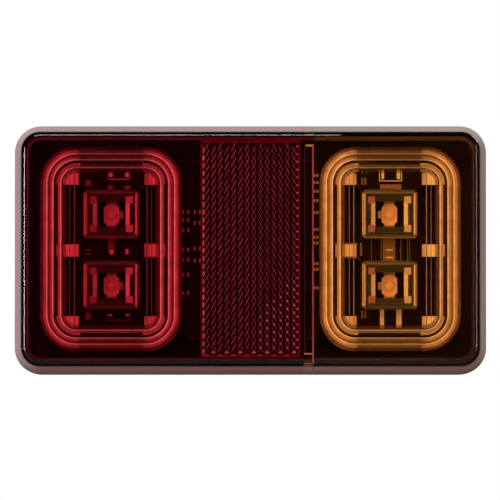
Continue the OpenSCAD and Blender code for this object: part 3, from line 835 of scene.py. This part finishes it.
def make_prism_lights():
    """Painted highlights: the prisms' lit ridges, and beads of light on cut prisms along three
    edges, along the bottom row and on the prisms low down on the right."""
    lean = math.atan2(PRISM_REACH[0], PRISM_REACH[1])
    length = 2 * math.hypot(*PRISM_REACH)
    rising, falling, beads = bmesh.new(), bmesh.new(), bmesh.new()
    half = (REFLEX_MAX - REFLEX_MIN) / 2
    bead_floor, bead_slope = BEADS_LINE
    for x, z, room_x, room_z in prism_places():
        if z < 0 < room_x and 0 < room_z < PRISM_PITCH / 2:
            strip(beads, x, 0.08 * MM - half.z, 1.6 * MM, 0.16 * MM, IN_WALL)
        elif z < 0 < room_x and PRISM_REACH[1] < room_z < PRISM_PITCH:
            spot(beads, x, 1.0 * MM - half.z, 0.66 * MM, 0.34 * MM, IN_WALL)
        if room_z < 0.6 * PRISM_REACH[1]:
            continue
        if room_x > PRISM_REACH[0] and room_z > PRISM_REACH[1]:
            strip(rising, x, z, RIDGE_WIDTH, length, IN_WALL, lean)
            strip(falling, x, z, RIDGE_WIDTH, length, IN_WALL, -lean)
            low = z < bead_slope * x + bead_floor
            if x > BEADS_FROM_X and low and room_z > PRISM_PITCH:
                spot(beads, x, z, 0.31 * MM, 0.38 * MM, IN_WALL)
        elif room_x < 0:
            edge = math.copysign(half.x - 0.25 * MM, x)
            spot(beads, edge, z, 0.25 * MM, 1.0 * MM if x < 0 else 0.4 * MM, IN_WALL)
    new_piece("prism_rising_ridge_painted_highlights", rising, finishes["rising"])
    new_piece("prism_falling_ridge_painted_highlights", falling, finishes["falling"])
    new_piece("prism_painted_beads", beads, finishes["bead"])


def make_seam():
    """Painted highlights and a line of painted shade in the amber lens where it laps over the red
    one.
    """
    bm = bmesh.new()
    strip(bm, 19.8 * MM, -1.4 * MM, 0.55 * MM, 69 * MM, LAP_BACK)
    new_piece("seam_painted_highlight", bm, finishes["seam"])
    bm = bmesh.new()
    strip(bm, 17.15 * MM, 0, 0.4 * MM, 66 * MM, LAP_BACK)
    new_piece("seam_painted_shade", bm, finishes["seam_dark"])
    bm = bmesh.new()
    strip(bm, 18.6 * MM, 32.7 * MM, 2.2 * MM, 0.6 * MM, LAP_BACK)
    strip(bm, 18.4 * MM, -33.2 * MM, 3.0 * MM, 0.4 * MM, LAP_BACK)
    new_piece("seam_cap_painted_highlights", bm, finishes["seam_cap"])


def led_board_parts(side):
    """Pads, lands and printed outlines on an LED board, as (x, z, width, height) from its
    middle in mm."""
    if side > 0:
        pads = ((-2.05, 24.4, 0.86, 3.4), (2.93, 24.4, 1.1, 3.4), (-2.35, -22, 1.33, 7.3),
                (3.05, -22, 1.7, 7.3), (0, 0.1, 2.2, 0.4), (0, -2.3, 2.4, 0.5),
                (0.41, 22.1, 7.28, 0.28), (-3.1, 24.5, 0.26, 4.6), (3.92, 24.5, 0.26, 4.6))
        lands = ((0.41, 20.2, 6.8, 1.56), (-0.1, 0, 4.0, 7.0))
        prints = ((-5.7, 0, 0.2, 7.0), (-2.6, 0, 0.3, 7.0), (3.7, 0, 0.3, 7.0), (5.8, 0, 0.2, 7.0),
                  (6.5, 0, 0.2, 7.0), (-9.0, 0.3, 0.7, 4.2), (-8.6, 25, 0.5, 1.0),
                  (-7.2, 25, 0.5, 1.0), (-8.6, 22, 0.6, 2.2), (-7.6, 22, 0.6, 2.2),
                  (-8.6, -20.5, 0.6, 2.4), (-7.6, -20.5, 0.6, 2.4))
    else:
        pads = ((-0.3, 24.1, 1.2, 1.65), (4.9, 24.1, 1.2, 1.65), (-0.38, 25.9, 1.0, 0.5),
                (5.0, 25.9, 1.0, 0.5), (-0.4, -20.6, 1.2, 0.65), (5.0, -20.6, 1.2, 0.65),
                (0, -0.6, 1.2, 1.5), (4.9, -0.4, 1.0, 1.6), (2.3, 22.6, 7.1, 0.24))
        lands = ((-0.4, 20.1, 1.6, 1.2), (5.0, 20.1, 1.6, 1.2), (0, 1.6, 2.2, 4.2),
                 (-1.2, 24.6, 0.2, 4.0), (5.8, 24.6, 0.2, 4.0), (2.3, -22.3, 7.0, 0.2),
                 (-1.2, -21.2, 0.2, 2.2), (5.8, -21.2, 0.2, 2.2), (2.3, -24.9, 7.0, 0.26))
        prints = ((-7.4, 0.2, 1.8, 0.4), (-7.4, -1.2, 1.8, 0.4), (-7.4, 24.9, 1.8, 0.4),
                  (-7.4, 21.4, 1.8, 2.0), (-7.4, -21.0, 1.8, 2.4), (-7.4, -25.2, 1.8, 0.5))
    return {"pad": pads, "land": lands, "legend": prints}


def turned(bm, x, section):
    """A closed solid turned about a line along Y, from (radius, Y) points on its section."""
    ends = [bm.verts.new((x + radius, y, 0)) for radius, y in section]
    edges = [bm.edges.new(pair) for pair in zip(ends, ends[1:])]
    bmesh.ops.spin(
        bm, geom=ends + edges, cent=(x, 0, 0), axis=(0, 1, 0), angle=math.tau, steps=32,
        use_merge=True,
    )


def thread(bm, x, start, end):
    """A closed ridge that winds round a stud's core between two places along Y."""
    turns = (end - start) / THREAD_PITCH
    steps = 20 * round(turns)
    root = STUD_CORE - 0.05 * MM
    crest = STUD_R - 0.02 * MM
    flank = 0.42 * THREAD_PITCH
    profile = [
        bm.verts.new((x + radius, start + away, 0))
        for radius, away in ((root, -flank), (crest, 0.0), (root, flank))
    ]
    bmesh.ops.spin(
        bm, geom=[bm.faces.new(profile)], cent=(x, 0, 0), axis=(0, 1, 0),
        dvec=(0, (end - start) / steps, 0), angle=math.tau * turns, steps=steps,
    )


def make_studs():
    """Each fixing stud with its thread, its plain neck and its six-sided head."""
    for name in ("stud_left", "stud_right"):
        low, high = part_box(name)
        x = (low.x + high.x) / 2
        tip = high.y
        bm = bmesh.new()
        turned(bm, x, (
            (0, tip), (STUD_CORE - 0.5 * MM, tip), (STUD_CORE, tip - 0.7 * MM), (STUD_CORE, 0),
            (NECK_R, 0), (NECK_R, low.y + HEAD_T), (0, low.y + HEAD_T),
        ))
        thread(bm, x, 1.0 * MM, tip - 1.1 * MM)
        upright, turn = (Matrix.Rotation(math.radians(90), 4, axis) for axis in "XZ")
        head = bmesh.ops.create_circle(
            bm, cap_ends=True, segments=6, radius=(high.x - low.x) / 2,
            matrix=Matrix.Translation((x, low.y + HEAD_T, 0)) @ upright @ turn,
        )["verts"]
        thicken(bm, [head[0].link_faces[0]], HEAD_T)
        bmesh.ops.remove_doubles(bm, verts=bm.verts, dist=0.001 * MM)
        piece = new_piece(name + "_threaded", bm, finishes["stud"])
        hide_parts(name)


def make_board_parts():
    for side, colour in ((-1, "red"), (1, "amber")):
        for finish, parts in led_board_parts(side).items():
            bm = bmesh.new()
            for x, z, width, height in parts:
                thick = {"pad": 0.06 * MM, "land": 0.04 * MM, "legend": 0.02 * MM}[finish]
                plate(
                    bm, side * OPTIC_X + x * MM, z * MM, width * MM, height * MM,
                    BOARD_FRONT, thick, thick / 2,
                )
            new_piece(f"{colour}_board_{finish}s", bm, finishes[finish])
    low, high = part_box("driver_board")
    bm = bmesh.new()
    for z in (low.z + 0.12 * MM, high.z - 0.12 * MM):
        plate(bm, 0, z, high.x - low.x - 4 * MM, 0.2 * MM, DRIVER_FRONT, 0.02 * MM, 0.01 * MM)
    new_piece("driver_board_edges", bm, finishes["cut_edge"])


make_step_lights()
make_rim_lights()
make_prism_lights()
make_seam()
make_board_parts()
make_studs()


# Camera, lamps and surroundings

def make_camera():
    data = bpy.data.cameras.new("camera")
    data.sensor_width = SENSOR_MM
    data.lens = SENSOR_MM * CAMERA_AWAY / VIEW_WIDTH
    data.clip_end = 20.0
    camera = bpy.data.objects.new("camera", data)
    bpy.context.scene.collection.objects.link(camera)
    drop = math.radians(CAMERA_BELOW_DEG)
    away = Vector((0.0, -math.cos(drop), -math.sin(drop)))
    camera.location = Vector(AIM) + CAMERA_AWAY * away
    camera.rotation_euler = (math.radians(90) + drop, 0.0, 0.0)
    bpy.context.scene.camera = camera


def soft_lamp(name, place, width, height, radiance, gloss=True):
    """An area lamp turned to the part, with its strength given as radiance. The lens shows it
    as gloss and lets its light in, but never shows it through the plastic."""
    data = bpy.data.lights.new(name, "AREA")
    data.shape = "RECTANGLE"
    data.size = width
    data.size_y = height
    data.energy = radiance * math.pi * width * height
    lamp = bpy.data.objects.new(name, data)
    bpy.context.scene.collection.objects.link(lamp)
    lamp.location = place
    lamp.visible_transmission = False
    lamp.visible_glossy = gloss
    toward = Vector((0, 0, 0)) - Vector(place)
    lamp.rotation_euler = toward.to_track_quat("-Z", "Y").to_euler()


def make_lamps():
    soft_lamp("left strip", (-1.0, -0.9, 0.0), 0.44, 0.55, 11.5)
    soft_lamp("right strip", (1.0, -0.9, 0.0), 0.44, 0.9, 3.2)
    soft_lamp("top strip", (-0.22, -0.88, 1.02), 0.5, 0.42, 6.0)
    soft_lamp("front fill", (0.1, -1.4, 0.5), 0.6, 0.6, 5.9, gloss=False)
    soft_lamp("back", (0.9, 1.1, 0.8), 0.5, 0.5, 4.0)


def make_world():
    """White to the camera. Gloss and glass see a pale studio behind and beside the part and
    a dark one behind the camera, where what shines out through the lens meets a soft panel on
    either side; other rays meet an even, moderate light."""
    world = bpy.data.worlds.new("studio")
    bpy.context.scene.world = world
    world.use_nodes = True
    tree = world.node_tree
    tree.nodes.clear()
    way = put(tree, "TexCoord").outputs["Generated"]
    x, y, z = put(tree, "SeparateXYZ", {0: way}).outputs
    behind = put(
        tree,
        "MapRange",
        {0: y, "From Min": 0.55, "From Max": 0.9, "To Min": 0.0, "To Max": 1.0},
        interpolation_type="SMOOTHSTEP",
    ).outputs[0]
    tilt = maths(tree, "MULTIPLY_ADD", x, -0.365, 0.345)
    tilt = maths(tree, "MULTIPLY_ADD", z, 0.54, tilt)
    level = put(tree, "Clamp", {0: tilt, "Min": 0.14, "Max": 0.8}).outputs[0]
    seen = maths(tree, "MULTIPLY_ADD", behind, level, DARK_STUDIO)
    path = put(tree, "LightPath").outputs
    front = put(tree, "MapRange", {0: y, "From Min": -0.8, "From Max": -0.97}).outputs[0]
    aside = put(
        tree, "MapRange", {0: maths(tree, "ABSOLUTE", x), "From Min": 0.57, "From Max": 0.63}
    ).outputs[0]
    ahead = put(tree, "MapRange", {0: y, "From Min": -0.54, "From Max": -0.60}).outputs[0]
    panels = maths(tree, "MULTIPLY", maths(tree, "MULTIPLY", aside, ahead), SIDE_PANEL)
    through = maths(tree, "MULTIPLY_ADD", front, FRONT_PANEL, panels)
    seen = maths(tree, "MULTIPLY_ADD", through, path["Is Transmission Ray"], seen)
    shiny = maths(tree, "MAXIMUM", path["Is Glossy Ray"], path["Is Transmission Ray"])
    extra = maths(tree, "SUBTRACT", seen, AMBIENT)
    strength = maths(tree, "MULTIPLY_ADD", extra, shiny, AMBIENT)
    white = put(tree, "Background", {"Color": (1, 1, 1, 1), "Strength": 1.0}).outputs[0]
    studio = put(tree, "Background", {"Color": (1, 1, 1, 1), "Strength": strength}).outputs[0]
    mix = put(tree, "MixShader", {0: path["Is Camera Ray"], 1: studio, 2: white}).outputs[0]
    put(tree, "OutputWorld", {"Surface": mix})


def make_floor():
    """A floor that ends just short of the lens's front, so that the lens's lower edge mirrors
    less of it."""
    bm = bmesh.new()
    bmesh.ops.create_circle(bm, cap_ends=True, segments=96, radius=FLOOR_R)
    bmesh.ops.translate(bm, vec=(0, FLOOR_Y, FLOOR_Z), verts=bm.verts)
    mesh = bpy.data.meshes.new("floor")
    bm.to_mesh(mesh)
    bm.free()
    floor = bpy.data.objects.new("floor", mesh)
    bpy.context.scene.collection.objects.link(floor)
    mesh.materials.append(solid_finish("floor", (0.30, 0.30, 0.30), 0.7, change=0.02, drift=8.0))


make_camera()
make_lamps()
make_world()
make_floor()
bpy.context.scene.view_settings.view_transform = "Standard"
